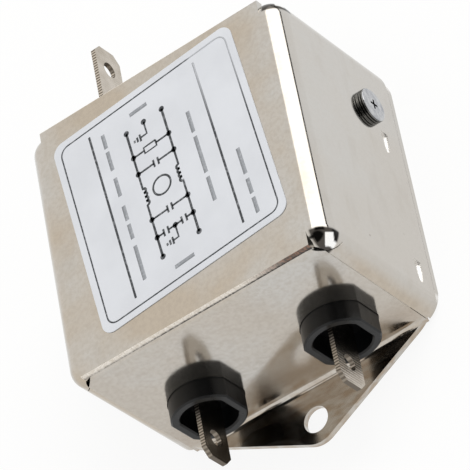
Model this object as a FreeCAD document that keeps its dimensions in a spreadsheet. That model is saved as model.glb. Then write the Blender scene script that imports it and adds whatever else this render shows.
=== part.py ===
import FreeCAD, Part
import math
import os
import re
import Sketcher

# Line filter in a folded, plated steel case. +X is the side with the earth screw, -Y the front
# with two tabs, +Z up. The origin is midway between the two mounting holes, on the underside.
# All sizes are in millimetres.

SIZES = {
    "case_width": 49.0,
    "case_depth": 46.5,
    "case_height": 30.0,
    "sheet": 1.0,
    "seam_gap": 0.05,
    "side_bend_radius": 3.2,
    "side_corner_radius": 3.0,
    "cut_edge_radius": 0.2,
    "window_width": 44.4,
    "window_corner_radius": 2.2,
    "relief_drop": 3.1,
    "relief_slope": 45.0,
    "relief_length": 2.9,
    "relief_width": 0.12,
    "foot_bend_radius": 1.0,
    "top_fold_radius": 1.4,
    "hole_pitch": 59.0,
    "hole_diameter": 4.4,
    "ear_root_width": 43.2,
    "ear_tip_radius": 4.1,
    "rear_trim_radius": 4.4,
    "plate_corner_radius": 4.4,
    "latch_width": 5.2,
    "latch_height": 7.0,
    "latch_front": 17.3,
    "latch_rear": 6.7,
    "lance_length": 4.0,
    "lance_height": 1.8,
    "lance_depth": 0.7,
    "lance_level_front": 4.3,
    "lance_level_rear": 5.3,
    "lance_skin": 0.55,
    "terminal_spacing": 25.2,
    "terminal_level": 10.4,
    "bushing_radius": 5.9,
    "bushing_flat": 5.3,
    "bushing_wall": 1.4,
    "bushing_height": 3.4,
    "bushing_recess": 4.0,
    "bushing_corner_radius": 0.5,
    "bushing_edge_chamfer": 0.25,
    "bushing_flange": 1.2,
    "flange_thickness": 1.2,
    "bushing_neck": 1.8,
    "tab_width": 6.3,
    "tab_thickness": 0.8,
    "tab_reach": 11.2,
    "tab_chamfer": 1.4,
    "tab_hole_diameter": 2.8,
    "tab_hole_inset": 4.0,
    "tab_tail_width": 3.2,
    "tab_tail_length": 2.6,
    "earth_tab_reach": 13.3,
    "earth_tab_side": 10.8,
    "earth_tab_drop": 6.1,
    "earth_foot_length": 6.5,
    "slip_gap": 0.1,
    "screw_level": 8.6,
    "screw_place": 11.8,
    "screw_diameter": 3.0,
    "screw_length": 6.4,
    "screw_head_diameter": 5.8,
    "screw_head_height": 1.2,
    "recess_width": 0.4,
    "recess_span": 1.8,
    "recess_depth": 0.8,
    "washer_diameter": 5.6,
    "washer_thickness": 0.5,
    "spring_diameter": 5.2,
    "spring_thickness": 0.8,
    "spring_cut": 0.6,
    "lug_diameter": 5.6,
    "lug_thickness": 0.6,
    "lug_tail": 5.6,
    "lug_tail_width": 2.6,
    "nut_flats": 5.5,
    "nut_height": 2.4,
    "label_width": 35.4,
    "label_length": 38.0,
    "label_thickness": 0.12,
    "label_corner_radius": 2.0,
    "label_turn": 5.6,
    "label_offset": 1.6,
    "liner_thickness": 0.3,
    "liner_side_margin": 1.0,
    "liner_end_margin": 1.5,
    "liner_rise": 3.0,
    "board_side_gap": 4.5,
    "board_end_gap": 8.25,
    "board_thickness": 1.2,
    "board_level": 4.2,
    "post_inset": 2.8,
    "post_radius": 2.4,
    "post_neck_radius": 1.2,
    "post_head_radius": 1.7,
    "post_head_height": 0.9,
    "pin_radius": 0.35,
    "pin_hole_radius": 0.5,
    "pin_overhang": 0.9,
    "standing_gap": 0.3,
    "choke_side_gap": 2.4,
    "choke_ring_width": 4.0,
    "choke_height": 7.0,
    "choke_edge_chamfer": 0.5,
    "winding_thickness": 1.1,
    "winding_angle": 132.0,
    "winding_turns": 11,
    "winding_groove": 0.35,
    "divider_thickness": 1.0,
    "divider_height": 10.5,
    "film_width": 6.6,
    "film_length": 17.0,
    "film_height": 12.5,
    "film_corner_radius": 0.8,
    "film_board_margin": 4.0,
    "film_place": -2.0,
    "film_pin_pitch": 12.5,
    "disc_radius": 3.8,
    "disc_thickness": 2.8,
    "disc_board_margin": 2.1,
    "disc_edge_chamfer": 0.9,
    "disc_side_line": 7.9,
    "disc_side_neutral": -0.7,
    "disc_pin_pitch": 5.0,
    "resistor_radius": 1.15,
    "resistor_length": 6.4,
    "resistor_end_radius": 1.35,
    "resistor_board_margin": 2.1,
    "resistor_pin_pitch": 10.0,
    "lead_radius": 0.8,
    "lead_bend_radius": 2.2,
    "lead_board_inset": 2.0,
    "bond_lead_inset": 2.4,
}

# Lines that several pieces share, each worked out from the sizes above.
HALF_WIDTH = "(case_width / 2)"
HALF_DEPTH = "(case_depth / 2)"
COVER_FOOT = "(sheet + seam_gap)"
CHASSIS_TOP = "(case_height - sheet - seam_gap)"
CHASSIS_HALF = "(window_width / 2 - seam_gap)"
EAR_REACH = "(hole_pitch / 2 - case_depth / 2)"
EARTH_TAB_LEVEL = "(case_height - earth_tab_drop)"
WALL_INSIDE = "(case_width / 2 - sheet)"
LUG_FACE = "(case_width / 2 - sheet - washer_thickness - lug_thickness)"
BOARD_SIDE = "(case_width / 2 - board_side_gap)"
BOARD_END = "(case_depth / 2 - board_end_gap)"
BOARD_TOP = "(board_level + board_thickness)"
STANDING = "(board_level + board_thickness + standing_gap)"
FILM_SIDE = f"({BOARD_SIDE} - film_board_margin)"
DISC_PLACE = f"({BOARD_END} - disc_board_margin)"
RESISTOR_PLACE = f"(-({BOARD_END} - resistor_board_margin))"
CHOKE_OUTER = f"({FILM_SIDE} - film_width / 2 - choke_side_gap - winding_thickness)"
CHOKE_INNER = f"({CHOKE_OUTER} - choke_ring_width)"
CHOKE_MIDDLE = f"({STANDING} + winding_thickness + choke_height / 2)"
BUSHING_END = "(sheet + flange_thickness + bushing_neck)"
LATCH_OUTSIDE = "(case_width / 2 - sheet - seam_gap)"
LEAD_PLACE = f"({BOARD_END} - lead_board_inset)"
LATCHES = [("-latch_front", "lance_level_front"), ("latch_rear", "lance_level_rear")]

doc = FreeCAD.newDocument("line_filter")
sheet = doc.addObject("Spreadsheet::Sheet", "Sizes")
for row, (alias, value) in enumerate(SIZES.items(), start=1):
    sheet.set(f"A{row}", alias)
    sheet.set(f"B{row}", str(value))
    sheet.setAlias(f"B{row}", alias)
doc.recompute()

parts = []


def bound(text):
    """The expression with each size's name led by the sheet's name."""
    return re.sub(r"\b[a-z][a-z_]*\b", lambda m: f"Sizes.{m[0]}" if m[0] in SIZES else m[0], str(text))


def measure(text):
    """The value that an expression of the sizes has now."""
    return float(sheet.evalExpression(bound(text)))


def tie(item, **links):
    """Binds properties to expressions; a double underscore in a name stands for a dot."""
    for name, text in links.items():
        item.setExpression(name.replace("__", "."), bound(text))


def place(item, x="0", y="0", z="0", turn=0.0, axis=(0, 0, 1)):
    """Stands an object at a point given by expressions, turned about an axis."""
    item.Placement = FreeCAD.Placement(FreeCAD.Vector(), FreeCAD.Rotation(FreeCAD.Vector(*axis), turn))
    tie(item, Placement__Base__x=x, Placement__Base__y=y, Placement__Base__z=z)
    return item


def keep(item, name):
    """Names a sub-part and lists it for writing."""
    item.Label = name
    parts.append((name, item))
    return item


# Part primitives and booleans

def block(name, size, corner):
    item = doc.addObject("Part::Box", name)
    tie(item, Length=size[0], Width=size[1], Height=size[2])
    return place(item, *corner)


def rod(name, radius, height, at, axis=(0, 0, 1), turn=0.0):
    item = doc.addObject("Part::Cylinder", name)
    tie(item, Radius=radius, Height=height)
    return place(item, *at, turn=turn, axis=axis)


def cut(name, base, tool):
    item = doc.addObject("Part::Cut", name)
    item.Base = base
    item.Tool = tool
    return item


def common(name, base, tool):
    item = doc.addObject("Part::Common", name)
    item.Base = base
    item.Tool = tool
    return item


def fuse(name, shapes):
    item = doc.addObject("Part::MultiFuse", name)
    item.Shapes = shapes
    return item


def rounded(name, base, chosen):
    """Rounds the edges for which chosen(edge) gives a start and an end radius."""
    item = doc.addObject("Part::Fillet", name)
    item.Base = base
    doc.recompute()
    radii = [(number, chosen(edge)) for number, edge in enumerate(base.Shape.Edges, start=1)]
    item.Edges = [(number, pair[0], pair[1]) for number, pair in radii if pair]
    return item


# PartDesign bodies and their sketches

def new_body(name):
    body = doc.addObject("PartDesign::Body", name)
    return keep(body, name)


def sketch_on(body, role, lift="0"):
    """An empty sketch on one of the body's own origin planes, lifted along its normal."""
    sketch = body.newObject("Sketcher::SketchObject", f"{body.Name}_sketch")
    plane = next(f for f in body.Origin.OriginFeatures if f.Role == role)
    sketch.AttachmentSupport = (plane, [""])
    sketch.MapMode = "FlatFace"
    sketch.setExpression("AttachmentOffset.Base.z", bound(lift))
    return sketch


def fix(sketch, kind, *where, value):
    """Adds a measured constraint and binds it to its expression."""
    number = sketch.addConstraint(Sketcher.Constraint(kind, *where, measure(value)))
    sketch.setExpression(f"Constraints[{number}]", bound(value))


def polygon(sketch, corners):
    """A closed outline whose corners are pairs of expressions."""
    points = [FreeCAD.Vector(measure(x), measure(y), 0) for x, y in corners]
    first = len(sketch.Geometry)
    for start, end in zip(points, points[1:] + points[:1]):
        sketch.addGeometry(Part.LineSegment(start, end), False)
    for index, (x, y) in enumerate(corners):
        line = first + index
        following = first + (index + 1) % len(corners)
        sketch.addConstraint(Sketcher.Constraint("Coincident", line, 2, following, 1))
        fix(sketch, "DistanceX", -1, 1, line, 1, value=x)
        fix(sketch, "DistanceY", -1, 1, line, 1, value=y)


def rectangle(sketch, x, y, width, height):
    """An upright rectangle about a middle point."""
    left, right = f"{x} - ({width}) / 2", f"{x} + ({width}) / 2"
    low, high = f"{y} - ({height}) / 2", f"{y} + ({height}) / 2"
    polygon(sketch, [(left, low), (right, low), (right, high), (left, high)])


def circle(sketch, x, y, radius):
    middle = FreeCAD.Vector(measure(x), measure(y), 0)
    number = sketch.addGeometry(Part.Circle(middle, FreeCAD.Vector(0, 0, 1), measure(radius)), False)
    fix(sketch, "DistanceX", -1, 1, number, 3, value=x)
    fix(sketch, "DistanceY", -1, 1, number, 3, value=y)
    fix(sketch, "Radius", number, value=radius)


def double_d(sketch, x, y, radius, flat):
    """A circle cut off by an upright flat on each side."""
    middle = FreeCAD.Vector(measure(x), measure(y), 0)
    across = measure(flat)
    rise = math.sqrt(measure(radius) ** 2 - across ** 2)
    angle = math.atan2(rise, across)
    ring = Part.Circle(middle, FreeCAD.Vector(0, 0, 1), measure(radius))
    top = sketch.addGeometry(Part.ArcOfCircle(ring, angle, math.pi - angle), False)
    bottom = sketch.addGeometry(Part.ArcOfCircle(ring, math.pi + angle, 2 * math.pi - angle), False)
    corner = {side: [middle + FreeCAD.Vector(side * across, lift * rise, 0) for lift in (-1, 1)]
              for side in (-1, 1)}
    right = sketch.addGeometry(Part.LineSegment(corner[1][0], corner[1][1]), False)
    left = sketch.addGeometry(Part.LineSegment(corner[-1][1], corner[-1][0]), False)
    joints = [(right, 2, top, 1), (top, 2, left, 1), (left, 2, bottom, 1), (bottom, 2, right, 1),
              (top, 3, bottom, 3)]
    for pair in joints:
        sketch.addConstraint(Sketcher.Constraint("Coincident", *pair))
    sketch.addConstraint(Sketcher.Constraint("Vertical", right))
    sketch.addConstraint(Sketcher.Constraint("Vertical", left))
    sketch.addConstraint(Sketcher.Constraint("Equal", top, bottom))
    fix(sketch, "DistanceX", -1, 1, top, 3, value=x)
    fix(sketch, "DistanceY", -1, 1, top, 3, value=y)
    fix(sketch, "Radius", top, value=radius)
    fix(sketch, "DistanceX", top, 3, right, 1, value=flat)
    fix(sketch, "DistanceX", left, 1, top, 3, value=flat)


def pad(body, sketch, length, midplane=False, backwards=False):
    feature = body.newObject("PartDesign::Pad", f"{body.Name}_pad")
    feature.Profile = sketch
    feature.Midplane = midplane
    feature.Reversed = backwards
    tie(feature, Length=length)
    doc.recompute()
    return feature


def pocket(body, sketch, length=None, midplane=False, backwards=False):
    """A pocket of one depth, or right through in both directions."""
    feature = body.newObject("PartDesign::Pocket", f"{body.Name}_pocket")
    feature.Profile = sketch
    feature.Midplane = midplane
    feature.Reversed = backwards
    if length is None:
        feature.Midplane = True
        feature.Length = 500
    else:
        tie(feature, Length=length)
    doc.recompute()
    return feature


def turned(body, sketch, angle="360", midplane=False):
    """The sketch revolved about its own upright axis."""
    feature = body.newObject("PartDesign::Revolution", f"{body.Name}_turned")
    feature.Profile = sketch
    feature.ReferenceAxis = (sketch, ["V_Axis"])
    feature.Midplane = midplane
    tie(feature, Angle=angle)
    doc.recompute()
    return feature


def smooth(body, radius, chosen):
    """Rounds the edges of the body that chosen(edge) picks."""
    base = body.Tip
    names = [f"Edge{number}" for number, edge in enumerate(base.Shape.Edges, start=1) if chosen(edge)]
    feature = body.newObject("PartDesign::Fillet", f"{body.Name}_smooth")
    feature.Base = (base, names)
    tie(feature, Radius=radius)
    doc.recompute()
    return feature


def bevel(body, size, chosen):
    """Breaks the edges of the body that chosen(edge) picks."""
    base = body.Tip
    names = [f"Edge{number}" for number, edge in enumerate(base.Shape.Edges, start=1) if chosen(edge)]
    feature = body.newObject("PartDesign::Chamfer", f"{body.Name}_bevel")
    feature.Base = (base, names)
    tie(feature, Size=size)
    doc.recompute()
    return feature


def mirrored(body, features, role):
    """The features repeated across one of the body's origin planes."""
    feature = body.newObject("PartDesign::Mirrored", f"{body.Name}_mirrored")
    feature.Originals = features
    plane = next(f for f in body.Origin.OriginFeatures if f.Role == role)
    feature.MirrorPlane = (plane, [""])
    body.Tip = feature
    doc.recompute()
    return feature


def near(value, *targets):
    return any(abs(value - target) < 1e-4 for target in targets)


def upright(edge):
    """Whether an edge runs along Z."""
    return near(edge.BoundBox.XLength, 0) and near(edge.BoundBox.YLength, 0)


def crosswise(edge):
    """Whether an edge runs along X."""
    return near(edge.BoundBox.YLength, 0) and near(edge.BoundBox.ZLength, 0)


def lengthwise(edge):
    """Whether an edge runs along Y."""
    return near(edge.BoundBox.XLength, 0) and near(edge.BoundBox.ZLength, 0)


# The case

def drawn(name, width, depth, low, high, inset):
    """A box whose bends, upright corners and end rims run together into ball-like corners.

    The inset is how far the form lies within the outer faces, so that the sheet keeps its thickness.
    """
    form = block(f"{name}_box", (width, depth, f"{high} - {low}"),
                 (f"-({width}) / 2", f"-({depth}) / 2", low))
    bend = measure(f"side_bend_radius - {inset}")
    corner = measure(f"side_corner_radius - {inset}")
    top = measure(high)

    def radii(edge):
        if upright(edge):
            return corner, corner
        if not near(edge.CenterOfMass.z, top):
            return None
        return (bend, bend) if lengthwise(edge) else (corner, corner)

    return rounded(f"{name}_drawn", form, radii)


def cover_outside():
    """The outer form: drawn corners, and between them a full block whose top ends in cut edges."""
    corners = drawn("cover", "case_width", "case_depth", COVER_FOOT, "case_height", "0")
    middle = block("cover_middle",
                   ("case_width - 2 * side_bend_radius", "case_depth", f"case_height - {COVER_FOOT}"),
                   (f"-({HALF_WIDTH} - side_bend_radius)", f"-{HALF_DEPTH}", COVER_FOOT))
    top = measure("case_height")
    crisp = measure("cut_edge_radius")
    middle = rounded("cover_cut_edges", middle,
                     lambda e: (crisp, crisp) if crosswise(e) and near(e.CenterOfMass.z, top) else None)
    return fuse("cover_form", [corners, middle])


def cover_inside():
    """The hollow, whose bends and corners keep the sheet's thickness."""
    depth = "case_depth - 2 * sheet"
    corners = drawn("hollow", "case_width - 2 * sheet", depth, "0", "(case_height - sheet)", "sheet")
    middle = block("hollow_middle", ("window_width", depth, "case_height - sheet"),
                   ("-window_width / 2", f"-({HALF_DEPTH} - sheet)", "0"))
    return fuse("cover_hollow", [corners, middle])


def window(name, end):
    """The opening that an end wall of the chassis fills, cut through one end of the cover."""
    y = f"-{HALF_DEPTH} - sheet" if end < 0 else f"{HALF_DEPTH} - sheet - seam_gap"
    form = block(name, ("window_width", "2 * sheet + seam_gap", "case_height - sheet"),
                 ("-window_width / 2", y, "0"))
    roof = measure("case_height - sheet")
    radius = measure("window_corner_radius")

    def roof_corners(edge):
        in_plane = near(edge.BoundBox.XLength, 0) and near(edge.CenterOfMass.z, roof)
        return (radius, radius) if in_plane else None

    return rounded(f"{name}_rounded", form, roof_corners)


def relief(name, side, end):
    """The thin slit under the drawn corner, between the side bend and the wrapped wall."""
    start, drop = "(window_width / 2 - 2 * relief_width)", "relief_drop"
    if side < 0:
        start = f"(-{start} - relief_length * cos(relief_slope))"
        drop = f"({drop} + relief_length * sin(relief_slope))"
    y = f"-{HALF_DEPTH} - sheet" if end < 0 else f"{HALF_DEPTH} - side_corner_radius"
    item = block(name, ("relief_length", "side_corner_radius + sheet", "relief_width"), ("0", "0", "0"))
    place(item, start, y, f"case_height - {drop}", turn=1, axis=(0, side, 0))
    tie(item, Placement__Rotation__Angle="relief_slope")
    return item


def rear_trim():
    """What the two lower rear corners of the cover lack: a square corner less a quarter round."""
    radius = "rear_trim_radius"
    corner = block("trim_corner", ("case_width + 2 * sheet", f"2 * {radius}", f"2 * {radius}"),
                   (f"-({HALF_WIDTH} + sheet)", f"{HALF_DEPTH} - {radius}", f"{COVER_FOOT} - {radius}"))
    keeping = rod("trim_round", radius, "case_width + 4 * sheet",
                  (f"-({HALF_WIDTH} + 2 * sheet)", f"{HALF_DEPTH} - {radius}", f"{COVER_FOOT} + {radius}"),
                  axis=(0, 1, 0), turn=90)
    return cut("trim", corner, keeping)


def lance(name, side, y, level, grow="0"):
    """A tongue pressed into a side wall, sheared at its rear end; grow swells it into its inner skin."""
    item = doc.addObject("Part::Ellipsoid", name)
    item.Angle1 = -90
    item.Angle2 = 90
    item.Angle3 = 180
    tie(item, Radius1=f"lance_height / 2 + {grow}", Radius2=f"lance_depth + {grow}",
        Radius3=f"lance_length + {grow}")
    return place(item, f"{side} * {HALF_WIDTH}", f"{y} + lance_length / 2", level, turn=180)


def build_cover():
    shell = cut("cover_shell", cover_outside(), cover_inside())
    openings = [window("front_window", -1), window("rear_window", 1), rear_trim()]
    for index, (side, end) in enumerate([(1, -1), (-1, -1), (1, 1), (-1, 1)]):
        openings.append(relief(f"relief_{index}", side, end))
    openings.append(rod("cover_bore", "screw_diameter / 2 + slip_gap", "3 * sheet",
                        (f"{HALF_WIDTH} - 2 * sheet", "screw_place", "screw_level"),
                        axis=(0, 1, 0), turn=90))
    places = [(side, y, level) for side in (1, -1) for y, level in LATCHES]
    skins = [lance(f"lance_skin_{index}", *spot, "lance_skin") for index, spot in enumerate(places)]
    slab = block("lance_limit", ("case_width - 0.5 * sheet", "case_depth", "case_height"),
                 (f"-{HALF_WIDTH} + 0.25 * sheet", f"-{HALF_DEPTH}", "0"))
    skin = common("lance_skins", fuse("lance_bumps", skins), slab)
    dents = [lance(f"lance_dent_{index}", *spot) for index, spot in enumerate(places)]
    body = fuse("cover_with_lances", [cut("cover_open", shell, fuse("cover_openings", openings)), skin])
    keep(cut("case_cover", body, fuse("lance_dents", dents)), "case_cover")


def ear_point():
    """How far out the two sides of an ear would meet, tangent to the round of its tip."""
    w, e, r = "(ear_root_width / 2)", EAR_REACH, "ear_tip_radius"
    return f"({w} * ({e} * {w} + {r} * sqrt({w} ^ 2 + {e} ^ 2 - {r} ^ 2)) / ({w} ^ 2 - {r} ^ 2))"


def build_chassis():
    """One strip folded into ear, wall, web, wall and ear, pierced for the tabs and the screws."""
    body = new_body("chassis")
    inner = f"{HALF_DEPTH} - sheet"
    web = f"{CHASSIS_TOP} - sheet"
    point = f"{HALF_DEPTH} + {ear_point()}"
    half = [(f"{point} + 1", "0"), (inner, "0"), (inner, web)]
    outer = [(HALF_DEPTH, CHASSIS_TOP), (HALF_DEPTH, "sheet"), (f"{point} + 1", "sheet")]
    negative = lambda corners: [(f"-({y})", z) for y, z in corners]
    profile = sketch_on(body, "YZ_Plane")
    polygon(profile, negative(half) + half[::-1] + outer[::-1] + negative(outer))
    pad(body, profile, f"2 * {CHASSIS_HALF}", midplane=True)
    end = measure(HALF_DEPTH)
    thickness = measure("sheet")
    roof = measure(CHASSIS_TOP)

    def fold(y, z):
        return lambda e: crosswise(e) and near(abs(e.CenterOfMass.y), y) and near(e.CenterOfMass.z, z)

    smooth(body, "foot_bend_radius", fold(end, thickness))
    smooth(body, "foot_bend_radius + sheet", fold(end - thickness, 0))
    smooth(body, "top_fold_radius", fold(end, roof))
    smooth(body, "top_fold_radius - sheet", fold(end - thickness, roof - thickness))
    # The corners of the walls clear the round corners of the windows in the cover.
    shoulders = sketch_on(body, "XZ_Plane")
    leg = "(0.9 * window_corner_radius)"
    for sign in ("", "-"):
        polygon(shoulders, [(f"{sign}({CHASSIS_HALF} - {leg})", "case_height"),
                            (f"{sign}({CHASSIS_HALF} - {leg})", CHASSIS_TOP),
                            (f"{sign}{CHASSIS_HALF}", f"{CHASSIS_TOP} - {leg}"),
                            (f"{sign}({CHASSIS_HALF} + 1)", f"{CHASSIS_TOP} - {leg}"),
                            (f"{sign}({CHASSIS_HALF} + 1)", "case_height")])
    pocket(body, shoulders)
    sides = sketch_on(body, "XY_Plane")
    wide, far = f"({CHASSIS_HALF} + 1)", f"({point} + 2)"
    polygon(sides, [("ear_root_width / 2", f"-{HALF_DEPTH}"), (wide, f"-{HALF_DEPTH}"), (wide, f"-{far}"),
                    (f"-{wide}", f"-{far}"), (f"-{wide}", f"-{HALF_DEPTH}"),
                    ("-ear_root_width / 2", f"-{HALF_DEPTH}"),
                    ("0", f"-({point})")])
    front = pocket(body, sides)
    mirrored(body, [front], "XZ_Plane")
    smooth(body, "ear_tip_radius", lambda e: upright(e) and near(e.CenterOfMass.x, 0))
    holes = sketch_on(body, "XY_Plane")
    circle(holes, "0", "hole_pitch / 2", "hole_diameter / 2")
    circle(holes, "0", "-hole_pitch / 2", "hole_diameter / 2")
    pocket(body, holes)
    seats = sketch_on(body, "XZ_Plane")
    for x in ("terminal_spacing / 2", "-terminal_spacing / 2"):
        double_d(seats, x, "terminal_level", "bushing_radius + slip_gap", "bushing_flat + slip_gap")
    pocket(body, seats)
    slot = sketch_on(body, "XZ_Plane", f"-({HALF_DEPTH} + sheet)")
    rectangle(slot, "-earth_tab_side", EARTH_TAB_LEVEL, "tab_thickness + 2 * slip_gap",
              "tab_width + 2 * slip_gap")
    pocket(body, slot, "3 * sheet", backwards=True)


def build_plate():
    """The bottom plate, its rim under the side walls and four lanced tabs inside them."""
    body = new_body("bottom_plate")
    outline = sketch_on(body, "XY_Plane")
    rectangle(outline, "0", "0", "case_width", "case_depth")
    pad(body, outline, "sheet")
    smooth(body, "plate_corner_radius", upright)
    # The end walls of the chassis stand between the corners of the plate.
    for sign in ("", "-"):
        notch = sketch_on(body, "XY_Plane")
        rectangle(notch, "0", f"{sign}{HALF_DEPTH}", f"2 * {CHASSIS_HALF} + 2 * seam_gap",
                  "2 * (sheet + seam_gap)")
        pocket(body, notch)
    # Each latch is a tongue cut from the plate and bent up, and leaves a slot of its own length.
    heel = f"{LATCH_OUTSIDE} + (case_width / 2 - {LATCH_OUTSIDE}) / 2"
    for y, level in LATCHES:
        slot = sketch_on(body, "XY_Plane")
        rectangle(slot, f"{LATCH_OUTSIDE} - latch_height / 2", y, "latch_height",
                  "latch_width + 2 * seam_gap")
        opened = pocket(body, slot)
        tongue = sketch_on(body, "XZ_Plane", f"-({y})")
        polygon(tongue, [(heel, "0"), (f"{LATCH_OUTSIDE} - sheet", "0"),
                         (f"{LATCH_OUTSIDE} - sheet", "latch_height"),
                         (LATCH_OUTSIDE, "latch_height"), (LATCH_OUTSIDE, "sheet"), (heel, "sheet")])
        raised = pad(body, tongue, "latch_width", midplane=True)
        catch = sketch_on(body, "YZ_Plane")
        rectangle(catch, f"{y} + 0.15 * lance_length", level, "0.7 * lance_length + 2 * slip_gap",
                  "lance_height + 2 * slip_gap")
        caught = pocket(body, catch, HALF_WIDTH, backwards=True)
        mirrored(body, [opened, raised, caught], "YZ_Plane")


def build_label():
    body = new_body("rating_label")
    outline = sketch_on(body, "XY_Plane")
    rectangle(outline, "0", "0", "label_width", "label_length")
    pad(body, outline, "label_thickness")
    smooth(body, "label_corner_radius", upright)
    place(body, "0", "label_offset", "case_height")
    tie(body, Placement__Rotation__Angle="label_turn")


# The terminals, each modelled with its wall's outer face at y = 0 and its mouth towards -Y

def stand_in_wall(body, side, end):
    """Moves a terminal piece to its seat in the front wall (end -1) or the rear wall (end 1)."""
    turn = 180 if end > 0 else 0
    place(body, f"{side} * terminal_spacing / 2", f"{end} * {HALF_DEPTH}", "terminal_level", turn=turn)


def build_bushing(name, side, end):
    """A moulded double-D cup pushed out through the wall from inside, up to its flange."""
    body = new_body(name)
    collar = sketch_on(body, "XZ_Plane", "bushing_height")
    double_d(collar, "0", "0", "bushing_radius", "bushing_flat")
    pad(body, collar, "bushing_height + sheet", backwards=True)
    flange = sketch_on(body, "XZ_Plane", "-sheet")
    double_d(flange, "0", "0", "bushing_radius + bushing_flange", "bushing_flat + bushing_flange")
    pad(body, flange, "flange_thickness", backwards=True)
    neck = sketch_on(body, "XZ_Plane", "-(sheet + flange_thickness)")
    circle(neck, "0", "0", "bushing_radius - bushing_wall")
    pad(body, neck, "bushing_neck", backwards=True)
    recess = sketch_on(body, "XZ_Plane", "bushing_height")
    double_d(recess, "0", "0", "bushing_radius - bushing_wall", "bushing_flat - bushing_wall")
    pocket(body, recess, "bushing_recess")
    slot = sketch_on(body, "XZ_Plane")
    rectangle(slot, "0", "0", "tab_thickness + slip_gap", "tab_width + slip_gap")
    pocket(body, slot)
    mouth = -measure("bushing_height")
    smooth(body, "bushing_corner_radius", lambda edge: lengthwise(edge) and near(edge.BoundBox.YMin, mouth))
    bevel(body, "bushing_edge_chamfer",
          lambda edge: near(edge.BoundBox.YMin, mouth) and near(edge.BoundBox.YMax, mouth))
    stand_in_wall(body, side, end)


def blade(body, reach, tail):
    """The upright blade with a bevelled tip and a catch hole, cut from tab stock."""
    outline = sketch_on(body, "YZ_Plane")
    half = "(tab_width / 2)"
    upper = [(f"-({reach})", f"{half} - tab_chamfer"), (f"-({reach}) + tab_chamfer", half)] + tail
    polygon(outline, [(y, f"-({z})") for y, z in upper[::-1]] + upper)
    pad(body, outline, "tab_thickness", midplane=True)
    hole = sketch_on(body, "YZ_Plane")
    circle(hole, f"-({reach}) + tab_hole_inset", "0", "tab_hole_diameter / 2")
    pocket(body, hole)


def build_tab(name, side, end):
    """A line or neutral tab, with a narrow tail inside for its lead."""
    body = new_body(name)
    half_tail = "(tab_tail_width / 2)"
    blade(body, "tab_reach", [(BUSHING_END, "tab_width / 2"),
                              (BUSHING_END, half_tail),
                              (f"{BUSHING_END} + tab_tail_length", half_tail)])
    stand_in_wall(body, side, end)


def build_earth_tab():
    """The earth tab, with a foot bent flat against the inside of the rear wall."""
    body = new_body("earth_tab")
    blade(body, "earth_tab_reach", [("sheet + tab_thickness", "tab_width / 2")])
    foot = sketch_on(body, "XY_Plane", "-tab_width / 2")
    polygon(foot, [("-tab_thickness / 2", "sheet"), ("-tab_thickness / 2 - earth_foot_length", "sheet"),
                   ("-tab_thickness / 2 - earth_foot_length", "sheet + tab_thickness"),
                   ("-tab_thickness / 2", "sheet + tab_thickness")])
    pad(body, foot, "tab_width")
    back = measure("sheet + tab_thickness")
    corner = measure("tab_thickness / 2")
    smooth(body, "tab_thickness * 0.8",
           lambda e: upright(e) and near(e.CenterOfMass.x, corner) and near(e.CenterOfMass.y, back))
    place(body, "-earth_tab_side", HALF_DEPTH, EARTH_TAB_LEVEL, turn=180)


# The earth screw and what it clamps, stacked along X through the right-hand wall

def on_screw_line(body, x, turn=90):
    place(body, x, "screw_place", "screw_level", turn=turn, axis=(0, 1, 0))


def ring(name, outer, inner, thickness, x):
    """A plain ring whose own axis lies along X, starting at x."""
    body = new_body(name)
    outline = sketch_on(body, "XY_Plane")
    circle(outline, "0", "0", outer)
    circle(outline, "0", "0", inner)
    pad(body, outline, thickness)
    on_screw_line(body, x)
    return body


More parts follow.
